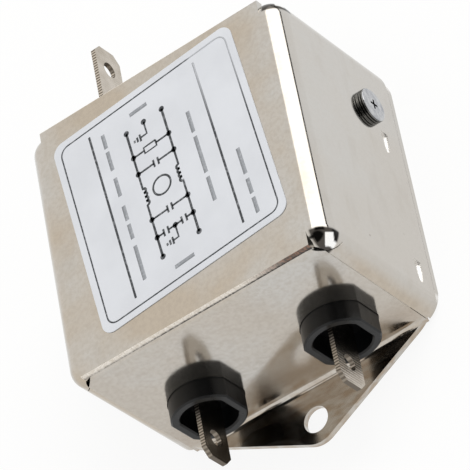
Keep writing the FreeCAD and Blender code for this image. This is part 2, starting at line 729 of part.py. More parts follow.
def build_earth_screw():
    """A low head screw, and inside the wall its flat washer, lug, spring washer and nut."""
    bore = "screw_diameter / 2 + slip_gap"
    ring("flat_washer", "washer_diameter / 2", bore, "washer_thickness",
         f"{WALL_INSIDE} - washer_thickness")
    coil = ring("spring_washer", "spring_diameter / 2", bore, "spring_thickness",
                f"{LUG_FACE} - spring_thickness")
    split = sketch_on(coil, "XY_Plane")
    rectangle(split, "0", "-spring_diameter / 2", "spring_cut", "spring_diameter")
    pocket(coil, split)
    screw = new_body("earth_screw")
    head = sketch_on(screw, "XZ_Plane")
    radius = "screw_head_diameter / 2"
    polygon(head, [("0", "-screw_length"), ("screw_diameter / 2", "-screw_length"),
                   ("screw_diameter / 2", "0"),
                   (radius, "0"), (radius, "screw_head_height"), ("0", "screw_head_height")])
    turned(screw, head)
    crown = measure("screw_head_height")
    smooth(screw, "screw_head_height * 0.3",
           lambda e: near(e.BoundBox.ZMin, crown) and near(e.BoundBox.ZMax, crown))
    cross = sketch_on(screw, "XY_Plane", "screw_head_height")
    arm, thin = "recess_span / 2", "recess_width / 2"
    quarter = [(arm, thin), (thin, thin), (thin, arm)]
    polygon(cross, quarter + [(f"-{x}", y) for x, y in quarter[::-1]]
            + [(f"-{x}", f"-{y}") for x, y in quarter] + [(x, f"-{y}") for x, y in quarter[::-1]])
    pocket(screw, cross, "recess_depth")
    on_screw_line(screw, HALF_WIDTH)
    lug = new_body("earth_lug")
    eye = sketch_on(lug, "XY_Plane")
    circle(eye, "0", "0", "lug_diameter / 2")
    pad(lug, eye, "lug_thickness")
    tail = sketch_on(lug, "XY_Plane")
    rectangle(tail, "0", "-lug_tail / 2", "lug_tail_width", "lug_tail")
    pad(lug, tail, "lug_thickness")
    opening = sketch_on(lug, "XY_Plane")
    circle(opening, "0", "0", bore)
    pocket(lug, opening)
    on_screw_line(lug, LUG_FACE)
    nut = new_body("earth_nut")
    hexagon = sketch_on(nut, "XY_Plane")
    corner = "nut_flats / sqrt(3)"
    polygon(hexagon, [(f"{corner} * cos({angle})", f"{corner} * sin({angle})")
                      for angle in range(30, 390, 60)])
    pad(nut, hexagon, "nut_height")
    thread = sketch_on(nut, "XY_Plane")
    circle(thread, "0", "0", bore)
    pocket(nut, thread)
    on_screw_line(nut, f"{LUG_FACE} - spring_thickness - nut_height")


# The circuit inside

FILM_PINS = {side: [(f"{side} * {FILM_SIDE}", f"film_place + {end} * film_pin_pitch / 2")
                    for end in (-1, 1)]
             for side in (-1, 1)}
DISC_PINS = {x: [(f"{x} + {end} * disc_pin_pitch / 2", DISC_PLACE) for end in (-1, 1)]
             for x in ("disc_side_line", "disc_side_neutral")}
RESISTOR_PINS = [(f"{end} * resistor_pin_pitch / 2", RESISTOR_PLACE) for end in (-1, 1)]
PINS = sum([*FILM_PINS.values(), *DISC_PINS.values()], RESISTOR_PINS)
POSTS = [(f"{x} * ({BOARD_SIDE} - post_inset)", f"{y} * ({BOARD_END} - post_inset)")
         for x in (-1, 1) for y in (-1, 1)]


def build_liner():
    """The insulating tray on the bottom plate, pierced for the posts."""
    body = new_body("insulating_liner")
    section = sketch_on(body, "XZ_Plane")
    half = f"({BOARD_SIDE} + liner_side_margin)"
    inner = f"({half} - liner_thickness)"
    top, floor = "(sheet + liner_rise)", "(sheet + liner_thickness)"
    right = [(half, "sheet"), (half, top), (inner, top), (inner, floor)]
    polygon(section, right + [(f"-{x}", z) for x, z in right[::-1]])
    pad(body, section, f"2 * ({BOARD_END} + liner_end_margin)", midplane=True)
    holes = sketch_on(body, "XY_Plane")
    for x, y in POSTS:
        circle(holes, x, y, "post_radius + slip_gap")
    pocket(body, holes)


def build_posts():
    """Four snap posts that carry the board; each is a solid of its own."""
    posts = []
    for number, (x, y) in enumerate(POSTS):
        base = rod(f"post_base_{number}", "post_radius", "board_level - sheet", (x, y, "sheet"))
        neck = rod(f"post_neck_{number}", "post_neck_radius", "board_thickness", (x, y, "board_level"))
        head = doc.addObject("Part::Cone", f"post_head_{number}")
        tie(head, Radius1="post_head_radius", Radius2="post_neck_radius / 2", Height="post_head_height")
        place(head, x, y, BOARD_TOP)
        posts.append(fuse(f"post_{number}", [base, neck, head]))
    group = doc.addObject("Part::Compound", "board_posts")
    group.Links = posts
    keep(group, "board_posts")


def build_board():
    body = new_body("circuit_board")
    outline = sketch_on(body, "XY_Plane", "board_level")
    rectangle(outline, "0", "0", f"2 * {BOARD_SIDE}", f"2 * {BOARD_END}")
    pad(body, outline, "board_thickness")
    holes = sketch_on(body, "XY_Plane")
    for x, y in POSTS:
        circle(holes, x, y, "post_neck_radius + slip_gap / 2")
    for x, y in PINS:
        circle(holes, x, y, "pin_hole_radius")
    pocket(body, holes)
    side = measure(BOARD_SIDE)
    smooth(body, "pin_hole_radius * 2", lambda edge: upright(edge) and near(abs(edge.CenterOfMass.x), side))


def build_choke():
    """The ring core lies flat, with a winding round each half and a divider between them."""
    core = new_body("choke_core")
    section = sketch_on(core, "XZ_Plane")
    width = "choke_ring_width"
    middle = f"({CHOKE_OUTER} - {width} / 2)"
    rectangle(section, middle, "0", width, "choke_height")
    turned(core, section)
    bevel(core, "choke_edge_chamfer", lambda edge: edge.Curve.TypeId == "Part::GeomCircle")
    place(core, "0", "0", CHOKE_MIDDLE)
    for name, turn in (("choke_winding_line", 0), ("choke_winding_neutral", 180)):
        coil = new_body(name)
        wall = sketch_on(coil, "XZ_Plane")
        rectangle(wall, middle, "0", f"{width} + 2 * winding_thickness",
                  "choke_height + 2 * winding_thickness")
        rectangle(wall, middle, "0", f"{width} + 2 * slip_gap", "choke_height + 2 * slip_gap")
        turned(coil, wall, "winding_angle", midplane=True)
        groove = sketch_on(coil, "XZ_Plane")
        rectangle(groove, middle, "0", f"{width} + 4 * winding_thickness",
                  "choke_height + 4 * winding_thickness")
        rectangle(groove, middle, "0", f"{width} + 2 * winding_thickness - 2 * winding_groove",
                  "choke_height + 2 * winding_thickness - 2 * winding_groove")
        first = pocket(coil, groove, "winding_groove", midplane=True)
        for backwards in (False, True):
            fan = coil.newObject("PartDesign::PolarPattern", f"{name}_fan")
            fan.Originals = [first]
            fan.Axis = (groove, ["V_Axis"])
            fan.Reversed = backwards
            tie(fan, Angle="winding_angle / 2 * (winding_turns - 1) / winding_turns")
            fan.Occurrences = (SIZES["winding_turns"] + 1) // 2
            coil.Tip = fan
            doc.recompute()
        place(coil, "0", "0", CHOKE_MIDDLE, turn=turn)
    divider = new_body("choke_divider")
    web = sketch_on(divider, "XZ_Plane")
    rectangle(web, "0", f"{BOARD_TOP} + divider_height / 2", "divider_thickness", "divider_height")
    pad(divider, web, f"2 * ({CHOKE_INNER} - slip_gap)", midplane=True)


def film_capacitor(name, side):
    """A boxed film capacitor with a pin at each end."""
    body = new_body(name)
    outline = sketch_on(body, "XY_Plane", STANDING)
    rectangle(outline, f"{side} * {FILM_SIDE}", "film_place", "film_width", "film_length")
    pad(body, outline, "film_height")
    smooth(body, "film_corner_radius", upright)
    add_pins(body, FILM_PINS[side])


def add_pins(body, places):
    """Round pins that run from inside the piece down through the board."""
    feet = sketch_on(body, "XY_Plane", "board_level - pin_overhang")
    for x, y in places:
        circle(feet, x, y, "pin_radius")
    pad(body, feet, f"pin_overhang + {STANDING} - board_level + 2 * pin_radius")


def disc_capacitor(name, x):
    """A dipped disc capacitor that stands on its two pins."""
    body = new_body(name)
    disc = sketch_on(body, "XZ_Plane", f"-{DISC_PLACE}")
    circle(disc, x, f"{STANDING} + disc_radius", "disc_radius")
    pad(body, disc, "disc_thickness", midplane=True)
    bevel(body, "disc_edge_chamfer", lambda edge: edge.Curve.TypeId == "Part::GeomCircle")
    feet = sketch_on(body, "XY_Plane", "board_level - pin_overhang")
    for px, py in DISC_PINS[x]:
        circle(feet, px, py, "pin_radius")
    pad(body, feet, f"pin_overhang + {STANDING} - board_level + disc_radius")


def build_resistor():
    """The bleed resistor, lying on the board with its leads bent down at both ends."""
    body = new_body("bleed_resistor")
    level = f"({STANDING} + resistor_end_radius)"
    core = sketch_on(body, "YZ_Plane")
    circle(core, RESISTOR_PLACE, level, "resistor_radius")
    pad(body, core, "resistor_length", midplane=True)
    for sign in ("", "-"):
        cap = sketch_on(body, "YZ_Plane", f"{sign}(resistor_length / 2 - resistor_end_radius / 2)")
        circle(cap, RESISTOR_PLACE, level, "resistor_end_radius")
        pad(body, cap, "resistor_end_radius", midplane=True)
    wire = sketch_on(body, "YZ_Plane")
    circle(wire, RESISTOR_PLACE, level, "pin_radius")
    pad(body, wire, "resistor_pin_pitch + 2 * pin_radius", midplane=True)
    feet = sketch_on(body, "XY_Plane", "board_level - pin_overhang")
    for x, y in RESISTOR_PINS:
        circle(feet, x, y, "pin_radius")
    pad(body, feet, f"pin_overhang - board_level + {level}")


def build_lead(name, path_role, mouth_role, lift, mouth_lift, start, corner, stop):
    """A lead that leaves start, turns once at corner and ends at stop, all in one plane.

    The two runs are square to each other and lie along the axes of the plane.
    """
    body = new_body(name)
    path = sketch_on(body, path_role, lift)
    first = 1 if measure(corner[0]) > measure(start[0]) else -1
    bend = [(f"({corner[0]}) - {first} * lead_bend_radius", corner[1]),
            (corner[0], f"({corner[1]}) - lead_bend_radius")]
    points = [FreeCAD.Vector(measure(x), measure(y), 0) for x, y in (start, *bend, stop)]
    pivot = FreeCAD.Vector(points[1].x, points[2].y, 0)
    circle_of_bend = Part.Circle(pivot, FreeCAD.Vector(0, 0, 1), measure("lead_bend_radius"))
    arc_start, arc_from = (1, math.pi / 2) if first < 0 else (2, 0)
    path.addGeometry(Part.LineSegment(points[0], points[1]), False)
    path.addGeometry(Part.ArcOfCircle(circle_of_bend, arc_from, arc_from + math.pi / 2), False)
    path.addGeometry(Part.LineSegment(points[2], points[3]), False)
    path.addConstraint(Sketcher.Constraint("Coincident", 0, 2, 1, arc_start))
    path.addConstraint(Sketcher.Constraint("Coincident", 1, 3 - arc_start, 2, 1))
    for line, spot, (x, y) in ((0, 1, start), (0, 2, bend[0]), (2, 1, bend[1]), (2, 2, stop)):
        fix(path, "DistanceX", -1, 1, line, spot, value=x)
        fix(path, "DistanceY", -1, 1, line, spot, value=y)
    fix(path, "Radius", 1, value="lead_bend_radius")
    mouth = sketch_on(body, mouth_role, mouth_lift)
    across = (lift, start[1]) if mouth_role == "XZ_Plane" else (f"-({lift})", start[1])
    circle(mouth, *across, "lead_radius")
    sweep = body.newObject("PartDesign::AdditivePipe", f"{name}_sweep")
    sweep.Profile = mouth
    sweep.Spine = path
    doc.recompute()


def build_leads():
    tail_end = f"({HALF_DEPTH} - {BUSHING_END} - tab_tail_length)"
    for end, place_name in ((-1, "front"), (1, "rear")):
        for side, hand in ((-1, "left"), (1, "right")):
            start = (f"{end} * {tail_end}", "terminal_level")
            drop = f"{end} * {LEAD_PLACE}"
            across = f"{side} * terminal_spacing / 2"
            build_lead(f"{place_name}_{hand}_lead", "YZ_Plane", "XZ_Plane", across,
                       f"-({start[0]})", start, (drop, "terminal_level"), (drop, BOARD_TOP))
    foot = f"({HALF_DEPTH} - sheet - tab_thickness)"
    build_lead("earth_lead", "YZ_Plane", "XZ_Plane", "-(earth_tab_side - earth_foot_length / 2)", f"-{foot}",
               (foot, EARTH_TAB_LEVEL), (LEAD_PLACE, EARTH_TAB_LEVEL), (LEAD_PLACE, BOARD_TOP))
    inset = f"({BOARD_SIDE} - bond_lead_inset)"
    build_lead("bond_lead", "XZ_Plane", "YZ_Plane", "-(screw_place - 0.75 * lug_tail)", LUG_FACE,
               (LUG_FACE, "screw_level"), (inset, "screw_level"), (inset, BOARD_TOP))


for build in (build_cover, build_chassis, build_plate, build_label):
    build()
for end, place_name in ((-1, "front"), (1, "rear")):
    for side, hand in ((-1, "left"), (1, "right")):
        build_bushing(f"{place_name}_{hand}_bushing", side, end)
        build_tab(f"{place_name}_{hand}_tab", side, end)
build_earth_tab()
build_earth_screw()
build_liner()
build_posts()
build_board()
build_choke()
film_capacitor("input_film_capacitor", -1)
film_capacitor("output_film_capacitor", 1)
disc_capacitor("line_disc_capacitor", "disc_side_line")
disc_capacitor("neutral_disc_capacitor", "disc_side_neutral")
build_resistor()
build_leads()
doc.recompute()

# Nothing is written unless every step of the model and every piece came out whole.
failed = [item.Name for item in doc.Objects if {"Invalid", "Error"} & set(item.State)]
failed += [name for name, item in parts if item.Shape.isNull() or not item.Shape.isValid()]
if failed:
    raise RuntimeError(f"not sound: {failed}")
os.makedirs("parts", exist_ok=True)
for name, item in parts:
    item.Shape.exportStep(os.path.join("parts", f"{name}.step"))
print(f"{len(parts)} pieces written")
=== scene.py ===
import math

import bpy
from mathutils import Matrix, Vector


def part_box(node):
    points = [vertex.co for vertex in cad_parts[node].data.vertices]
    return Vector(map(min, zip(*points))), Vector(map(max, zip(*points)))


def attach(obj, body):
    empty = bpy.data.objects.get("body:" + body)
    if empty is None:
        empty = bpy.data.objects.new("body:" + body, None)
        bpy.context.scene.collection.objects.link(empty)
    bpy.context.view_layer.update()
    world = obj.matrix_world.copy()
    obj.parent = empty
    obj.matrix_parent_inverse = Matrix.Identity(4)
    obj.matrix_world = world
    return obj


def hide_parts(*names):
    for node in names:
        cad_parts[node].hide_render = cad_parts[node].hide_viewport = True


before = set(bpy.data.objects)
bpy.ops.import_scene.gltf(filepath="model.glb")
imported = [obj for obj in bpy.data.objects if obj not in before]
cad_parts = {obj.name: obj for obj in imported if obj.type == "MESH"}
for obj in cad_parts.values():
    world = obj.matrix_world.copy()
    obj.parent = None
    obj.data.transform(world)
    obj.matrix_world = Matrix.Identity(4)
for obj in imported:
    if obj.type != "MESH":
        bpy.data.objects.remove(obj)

# The look of a small mains line filter: plated steel case, printed label, black bushings and tabs.
# Lengths are written in millimetres and turned to metres by MM.

bl_info = {
    "name": "Line filter finish",
    "version": (1, 0, 0),
    "blender": (4, 5, 0),
    "location": "View3D > Sidebar > Line filter",
    "description": "Finishes, label print, windings and studio for a chassis-mount line filter",
    "category": "Object",
}

MM = 0.001
CASE_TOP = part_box("case_cover")[1][2]
LABEL_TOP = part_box("rating_label")[1][2]
CUT_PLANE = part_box("case_cover")[1][1]
SEAM = 22.175 * MM
CORE_LOW, CORE_HIGH = (Vector(corner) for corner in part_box("choke_core"))
LABEL_TURN = math.radians(5.6)
TERMINALS = ("front_left", "front_right", "rear_left", "rear_right")
WHITE = (1, 1, 1, 1)

# The burrs in the seams, in mm: their foot, how far under the top they end, how far they lie behind
# the wall's face, their depth and half their width.
BURR_FOOT, BURR_DROP, BURR_SINK, BURR_DEPTH, BURR_HALF = 5.4, 4, 0.03, 0.6, 0.024

# The two ways along which the painted bright window on a drawn corner is bounded.
WINDOW_ACROSS, WINDOW_ALONG = (0.79, 0.17, -0.58), (-0.46, 0.79, -0.40)

# What the plate mirrors: the levels of the white room, its dark parts and the dark line at its foot,
# and the way from the case to the camera.
ROOM_LEVEL, DARK_LEVEL, LINE_LEVEL = 1.02, 0.05, 0.06
CAMERA_WAY = (0.41, -0.586, 0.698)


def tint(code):
    """The linear colour, with alpha, of an sRGB hex value."""
    channels = [int(code[place:place + 2], 16) / 255 for place in (1, 3, 5)]
    return tuple(c / 12.92 if c <= 0.04045 else ((c + 0.055) / 1.055) ** 2.4 for c in channels) + (1.0,)


def colour(name, code, about):
    return bpy.props.FloatVectorProperty(
        name=name, description=about, subtype="COLOR", size=4, min=0, max=1, default=tint(code))


def amount(name, value, about, **limits):
    return bpy.props.FloatProperty(name=name, description=about, default=value, min=0, **limits)


# Sizes and colours

class StudioSettings(bpy.types.PropertyGroup):
    azimuth: bpy.props.FloatProperty(
        name="Azimuth", description="Turn of the camera from the front towards the right",
        default=math.radians(35.05), subtype="ANGLE")
    elevation: bpy.props.FloatProperty(
        name="Elevation", description="Height of the camera above the horizon",
        default=math.radians(44.252), subtype="ANGLE")
    roll: bpy.props.FloatProperty(
        name="Roll", description="Turn of the picture about the line of sight",
        default=math.radians(-56.559), subtype="ANGLE")
    distance: amount("Distance", 614.1, "From the camera to the middle of the case, in mm")
    aim: bpy.props.FloatVectorProperty(
        name="Aim", description="Sideways and upward offset of the middle of the picture, in mm",
        size=2, default=(0.322, -0.825))
    lens: amount("Lens", 308.65, "Focal length for a 36 mm frame, in mm")
    table: colour("Table", "#F4F3F0", "White table under the case")
    room: amount("Room light", 0.74, "Light from all round")
    panel: amount("Panel", 2.4, "Brightness of the light panel")


class CaseSettings(bpy.types.PropertyGroup):
    plate: colour("Plate", "#C4C1BC", "Bright tin plate")
    worn_plate: colour("Worn plate", "#BDB2A3", "Plate gone warm and dull with handling")
    # Also used low on the end walls for a painted reflection of the ears.
    rubbed: colour("Rubbed", "#A08A70", "Warm tone of rubbed plate at the feet and on the ears")
    shear: colour("Shear", "#F6EFE5", "Bright part of a sheared edge")
    # The dark of the painted reflection on the drawn corners.
    corner_reflection: colour("Burnish", "#4E4A46", "Darker plate round the drawn corners")
    # The brown that the sheared edges of the top take on towards the right.
    edge_brown: colour("Bare edge", "#7A4A2C", "Bare steel that shows brown along a sheared edge")
    gloss: amount("Cover roughness", 0.10, "Of the drawn cover")
    wall_gloss: amount("Wall roughness", 0.12, "Of the end walls")
    foot_gloss: amount("Foot roughness", 0.24, "Of the end walls near the ears")
    wall_haze: amount("Wall metal", 0.96, "Share of clear metal on the hazy end walls", max=1)


class LabelSettings(bpy.types.PropertyGroup):
    film: colour("Film", "#D5D7DB", "Matt polyester label film")
    ink: colour("Ink", "#2B2F33", "Printing ink")
    rail: amount("Rail", 0.46, "Width of the two long lines of the diagram, in mm")
    branch: amount("Branch", 0.36, "Width of the other lines of the diagram, in mm")
    border: amount("Border", 0.26, "Width of the border, in mm")
    bar: amount("Bar", 0.4, "Width of the two bars beside the diagram, in mm")
    word: amount("Word", 0.7, "Height of the plain bars that stand in for words, in mm")
    faint: colour("Faint ink", "#8D9094", "Tone of the bars that stand in for words")
    dot: amount("Dot", 0.5, "Radius of the dots where lines join, in mm")
    ink_height: amount("Ink height", 0.008, "How far the ink stands above the film, in mm")


class TerminalSettings(bpy.types.PropertyGroup):
    nylon: colour("Nylon", "#08090A", "Black moulded nylon")
    tab: colour("Tab", "#C6BEB3", "Tinned brass")
    tab_edge: colour("Tab edge", "#C9BFB2", "Sheared edge of a tab")
    # Painted shade on the side of the screw head.
    rim: colour("Rim", "#2A2A29", "Turned rim of the screw head")
    zinc: colour("Zinc", "#C2C3C4", "Zinc plate on the screw, washers and nut")


class InsideSettings(bpy.types.PropertyGroup):
    board: colour("Board", "#8A7440", "Phenolic laminate")
    fibre: colour("Fibre", "#C9BC98", "Insulating fibre sheet")
    copper: colour("Copper", "#9C4A22", "Enamelled copper wire")
    turns: bpy.props.IntProperty(name="Turns", description="Turns in each winding", default=11, min=3)
    wire: amount("Wire", 0.46, "Radius of the winding wire, in mm")


# Node helpers

def add(tree, kind, inputs=None, **settings):
    """A node with its settings; inputs maps a socket's name or number to a value or an output."""
    made = tree.nodes.new(kind)
    for name, value in settings.items():
        setattr(made, name, value)
    for name, value in (inputs or {}).items():
        if isinstance(value, bpy.types.NodeSocket):
            tree.links.new(value, made.inputs[name])
        else:
            made.inputs[name].default_value = value
    return made


def blank(name):
    """An empty material and its node tree."""
    material = bpy.data.materials.new(name)
    material.use_nodes = True
    material.node_tree.nodes.clear()
    return material, material.node_tree


def dress(material, inputs):
    """Ends a material with a principled shader that has these inputs."""
    tree = material.node_tree
    shader = add(tree, "ShaderNodeBsdfPrincipled", inputs)
    add(tree, "ShaderNodeOutputMaterial", {"Surface": shader.outputs[0]})
    return material


def patches(tree, size, detail=2.0, stretch=(1, 1, 1), place=None):
    """Random patches about size mm across, drawn out along an axis by stretch."""
    where = place or add(tree, "ShaderNodeTexCoord").outputs["Object"]
    spread = add(tree, "ShaderNodeMapping", {"Vector": where, "Scale": [1 / s for s in stretch]})
    made = add(tree, "ShaderNodeTexNoise", {
        "Vector": spread.outputs[0], "Scale": 1 / (size * MM), "Detail": detail})
    return made.outputs["Fac"]


def mask(tree, *bands):
    """The product of its bands. A band is a factor made before, or a value with the two levels
    between which it goes from 0 to 1, or from and to two more given levels."""
    product = None
    for band in bands:
        if isinstance(band, tuple):
            value, low, high, *ends = band
            to_low, to_high = ends or (0.0, 1.0)
            band = add(tree, "ShaderNodeMapRange", {
                0: value, 1: low, 2: high, 3: to_low, 4: to_high}).outputs[0]
        if product is None:
            product = band
        else:
            product = add(tree, "ShaderNodeMath", {0: product, 1: band}, operation="MULTIPLY").outputs[0]
    return product


def coats(tree, base, *layers):
    """The base colour with each layer's colour laid over it where the layer's mask is 1."""
    for cover, tone in layers:
        base = add(tree, "ShaderNodeMix", {0: cover, 6: base, 7: tone}, data_type="RGBA").outputs[2]
    return base


def relief(tree, *waves):
    """The normal bent by each wave in turn, given as its height, strength and depth in mm."""
    bent = None
    for height, strength, depth in waves:
        inputs = {"Height": height, "Strength": strength, "Distance": depth * MM}
        if bent:
            inputs["Normal"] = bent
        bent = add(tree, "ShaderNodeBump", inputs).outputs[0]
    return bent


def unsigned(tree, vector):
    """The three parts of a vector without their signs."""
    bare = add(tree, "ShaderNodeVectorMath", {0: vector}, operation="ABSOLUTE")
    return add(tree, "ShaderNodeSeparateXYZ", {0: bare.outputs[0]}).outputs


def rays_of(tree, *kinds):
    """1 for rays of any of these kinds."""
    rays = add(tree, "ShaderNodeLightPath").outputs
    found = rays[f"Is {kinds[0]} Ray"]
    for kind in kinds[1:]:
        either = add(tree, "ShaderNodeMath", {0: found, 1: rays[f"Is {kind} Ray"]}, operation="MAXIMUM")
        found = either.outputs[0]
    return found


# Finishes

def simple(name, code, roughness, metallic=0.0, grain=1.0, change=0.12, depth=0.01, stretch=(1, 1, 1)):
    """A plain moulded, dipped or drawn finish with slight unevenness in colour, gloss and surface."""
    material, tree = blank(name)
    base = tint(code) if isinstance(code, str) else tuple(code)
    darker = tuple(c * (1 - change) for c in base[:3]) + (1.0,)
    uneven = patches(tree, grain, 3.0, stretch)
    return dress(material, {
        "Base Color": coats(tree, base, (mask(tree, (uneven, 0.35, 0.65)), darker)),
        "Roughness": mask(tree, (uneven, 0.3, 0.7, roughness * 0.85, roughness * 1.2)),
        "Normal": relief(tree, (patches(tree, grain / 2, 2.0, stretch), 0.3, depth)),
        "Metallic": metallic})


def tin_plate(settings, name, wall=False):
    """Electro-tinned sheet steel, cold rolled and folded: a soft mirror with rolling lines along the
    strip, warm patches from handling, small pits, and sheared edges that keep the shear marks."""
    material, tree = blank(name)
    place, normal = (add(tree, "ShaderNodeTexCoord").outputs[kind] for kind in ("Object", "Normal"))
    x, _, z = add(tree, "ShaderNodeSeparateXYZ", {0: place}).outputs
    far_x, far_y, _ = unsigned(tree, place)
    sideways, endways, _ = unsigned(tree, normal)
    upwards = add(tree, "ShaderNodeSeparateXYZ", {0: normal}).outputs[2]

    # Warm patches and mottle are kept faint on the side walls, so these stay the coolest in tone.
    off_the_sides = mask(tree, (sideways, 0.5, 0.9, 1.0, 0.25))
    warm = mask(tree, (patches(tree, 16, 4.0, place=place), 0.36, 0.6, 0.0, 0.5 if wall else 1.0), off_the_sides)
    smears = mask(tree, (patches(tree, 3, 5.0, (1, 3, 1), place), 0.55, 0.75, 0.0, 0.2))
    mottle = mask(tree, (patches(tree, 0.7, 3.0, place=place), 0.4, 0.65, 0.0, 0.22), off_the_sides)
    tone = coats(tree, tuple(settings.plate), (warm, tuple(settings.worn_plate)),
                 (smears, tint("#A69C8E")), (mottle, tint("#A0978B")))
    if wall:
        # A warm band low on the end walls, just above the ears, is a painted reflection of the ears; the
        # ears are scuffed across.
        foot = mask(tree, (z, 5 * MM, 10 * MM, 0.3, 0.0), (z, 1.2 * MM, 2.2 * MM))
        scuffs = mask(tree, (patches(tree, 1.1, 5.0, (3, 1, 1), place), 0.4, 0.62, 0.0, 0.6),
                      (z, 1.0 * MM, 1.6 * MM, 1.0, 0.0))
        tone = coats(tree, tone, (foot, tuple(settings.rubbed)), (scuffs, tuple(settings.rubbed)))

    # Pits are sparse dots about 0.3 mm across, 6 mm apart.
    cells = add(tree, "ShaderNodeTexVoronoi", {"Vector": place, "Scale": 1 / (6 * MM), "Randomness": 1.0})
    pits = mask(tree, (cells.outputs["Distance"], 0.02, 0.045, 0.45, 0.0))
    tone = coats(tree, tone, (pits, tint("#6B6154")))

    # The end edges of the cover's top show shear marks 0.3 mm apart, cream at the left and brown at the
    # right;
    # their lower part is darkened raggedly, a painted shade of the gap beneath, fainter at the left.
    edge = mask(tree, (far_y, CUT_PLANE - 0.25 * MM, CUT_PLANE - 0.1 * MM),
                (z, CASE_TOP - 1.15 * MM, CASE_TOP - 1.02 * MM), (endways, 0.15, 0.35))
    marks = mask(tree, (patches(tree, 0.3, 2.0, (1, 1, 2), place), 0.4, 0.6))
    brown = mask(tree, (x, 9 * MM, 17 * MM, 0.0, 0.9))
    gap_shade = mask(tree, (z, CASE_TOP - 0.9 * MM, CASE_TOP - 0.5 * MM, 1.0, 0.0), (x, -20 * MM, 0, 0.45, 1.0),
                (marks, 0.0, 1.0, 1.3, 0.8))
    brown_edge = coats(tree, tint("#2E1E15"), (marks, tuple(settings.edge_brown)))
    sheared = coats(tree, tint("#E2D9CC"), (marks, tuple(settings.shear)), (brown, brown_edge),
                    (gap_shade, tint("#241C17")))
    tone = coats(tree, tone, (edge, sheared))

    # The pressed tongues low on the side walls carry a painted highlight, near white.
    tongue_highlight = mask(tree, (sideways, 0.96, 0.99, 1.0, 0.0), (z, 7.5 * MM, 8 * MM, 1.0, 0.0),
                   (far_y, 20 * MM, 21 * MM, 1.0, 0.0), (far_x, 23.8 * MM, 24 * MM))
    tone = coats(tree, tone, (tongue_highlight, tint("#F4F2EF")))

    # The drawn corners at the right carry a painted reflection: dark all round a bright window, darker
    # still towards the side wall, a painted shade of the slit there.
    drawn = mask(tree, (sideways, 0.1, 0.2), (endways, 0.1, 0.2),
                 (z, CASE_TOP - 4.2 * MM, CASE_TOP - 3.8 * MM), (x, -1 * MM, 1 * MM))
    turned = add(tree, "ShaderNodeCombineXYZ", {0: sideways, 1: endways, 2: upwards}).outputs[0]
    across, along = (
        add(tree, "ShaderNodeVectorMath", {0: turned, 1: way}, operation="DOT_PRODUCT").outputs["Value"]
        for way in (WINDOW_ACROSS, WINDOW_ALONG))
    painted_window = mask(tree, (along, -0.26, -0.2), (along, 0.42, 0.5, 1.0, 0.0),
                 (across, 0.31, 0.35), (across, 0.68, 0.73, 1.0, 0.0))
    corner_reflection = coats(tree, tuple(settings.corner_reflection), (mask(tree, (across, 0.6, 0.68)), tint("#1E1C1A")),
                    (painted_window, tint("#FBFAF8")))
    tone = coats(tree, tone, (drawn, corner_reflection))

    rough = mask(tree, (patches(tree, 5, 4.0, place=place), 0.3, 0.7, settings.gloss * 0.75,
                        settings.gloss * 1.5))
    metal = [(edge, 0.0, 1.0, 1.0, 0.15)]
    if wall:
        # The end walls are duller than the ears that fold out from their feet, most of all low down.
        dull = mask(tree, (z, 2.2 * MM, 4 * MM),
                    (z, 7 * MM, 11 * MM, settings.foot_gloss, settings.wall_gloss))
        rough = add(tree, "ShaderNodeMath", {0: rough, 1: dull}, operation="MAXIMUM").outputs[0]
        metal.append((z, 2.2 * MM, 4 * MM, 1.0, settings.wall_haze))
    # Rougher on the sheared edges, and on the tongues with their painted highlight.
    edges_and_tongues = add(tree, "ShaderNodeMath", {0: edge, 1: tongue_highlight}, operation="MAXIMUM").outputs[0]
    rougher = mask(tree, (edges_and_tongues, 0.0, 1.0, 0.0, 0.35))

    # The sheet is slightly wavy, with rolling lines along its length.
    rolling = patches(tree, 0.25, 2.0, (1, 14, 14), place)
    return dress(material, {
        "Base Color": tone,
        "Roughness": add(tree, "ShaderNodeMath", {0: rough, 1: rougher}, operation="ADD").outputs[0],
        "Metallic": mask(tree, *metal),
        "Normal": relief(tree, (patches(tree, 18, 1.0, place=place), 0.25, 0.35), (rolling, 0.05, 0.02))})


def label_film(settings):
    """Matt polyester film: an even cool white with a faint mottled sheen."""
    material, tree = blank("label_film")
    mottle = mask(tree, (patches(tree, 7, 3.0), 0.35, 0.65))
    return dress(material, {
        "Base Color": coats(tree, tuple(settings.film), (mottle, tint("#CFD1D5"))),
        "Roughness": mask(tree, (patches(tree, 1.5, 3.0), 0.3, 0.7, 0.42, 0.55)),
        "Normal": relief(tree, (patches(tree, 0.4, 2.0), 0.15, 0.01))})


def printing_ink(settings, name, tone):
    """Thermal-transfer ink: dark and matt, a little thin in places, rubbed at one bar's far end."""
    material, tree = blank(name)
    place = add(tree, "ShaderNodeTexCoord").outputs["Object"]
    x, y, _ = add(tree, "ShaderNodeSeparateXYZ", {0: place}).outputs
    rubbed = mask(tree, (x, 7 * MM, 8 * MM), (y, 5 * MM, 17 * MM, 0.0, 0.62))
    thin = mask(tree, (patches(tree, 0.5, 3.0, place=place), 0.5, 0.75, 0.0, 0.3))
    worn = add(tree, "ShaderNodeMath", {0: rubbed, 1: thin}, operation="MAXIMUM").outputs[0]
    return dress(material, {
        "Base Color": coats(tree, tuple(tone), (worn, tuple(settings.film))),
        "Roughness": 0.5})


def moulded_nylon(settings):
    """Black nylon out of a polished mould: dark, half glossy, with faint flow marks round the cup."""
    material, tree = blank("moulded_nylon")
    flow = patches(tree, 1.6, 3.0, (1, 4, 1))
    return dress(material, {
        "Base Color": coats(tree, tuple(settings.nylon), (mask(tree, (flow, 0.35, 0.7)), tint("#101112"))),
        "Roughness": mask(tree, (flow, 0.3, 0.7, 0.26, 0.42)),
        "Normal": relief(tree, (patches(tree, 0.3, 2.0), 0.2, 0.02)),
        "IOR": 1.4})


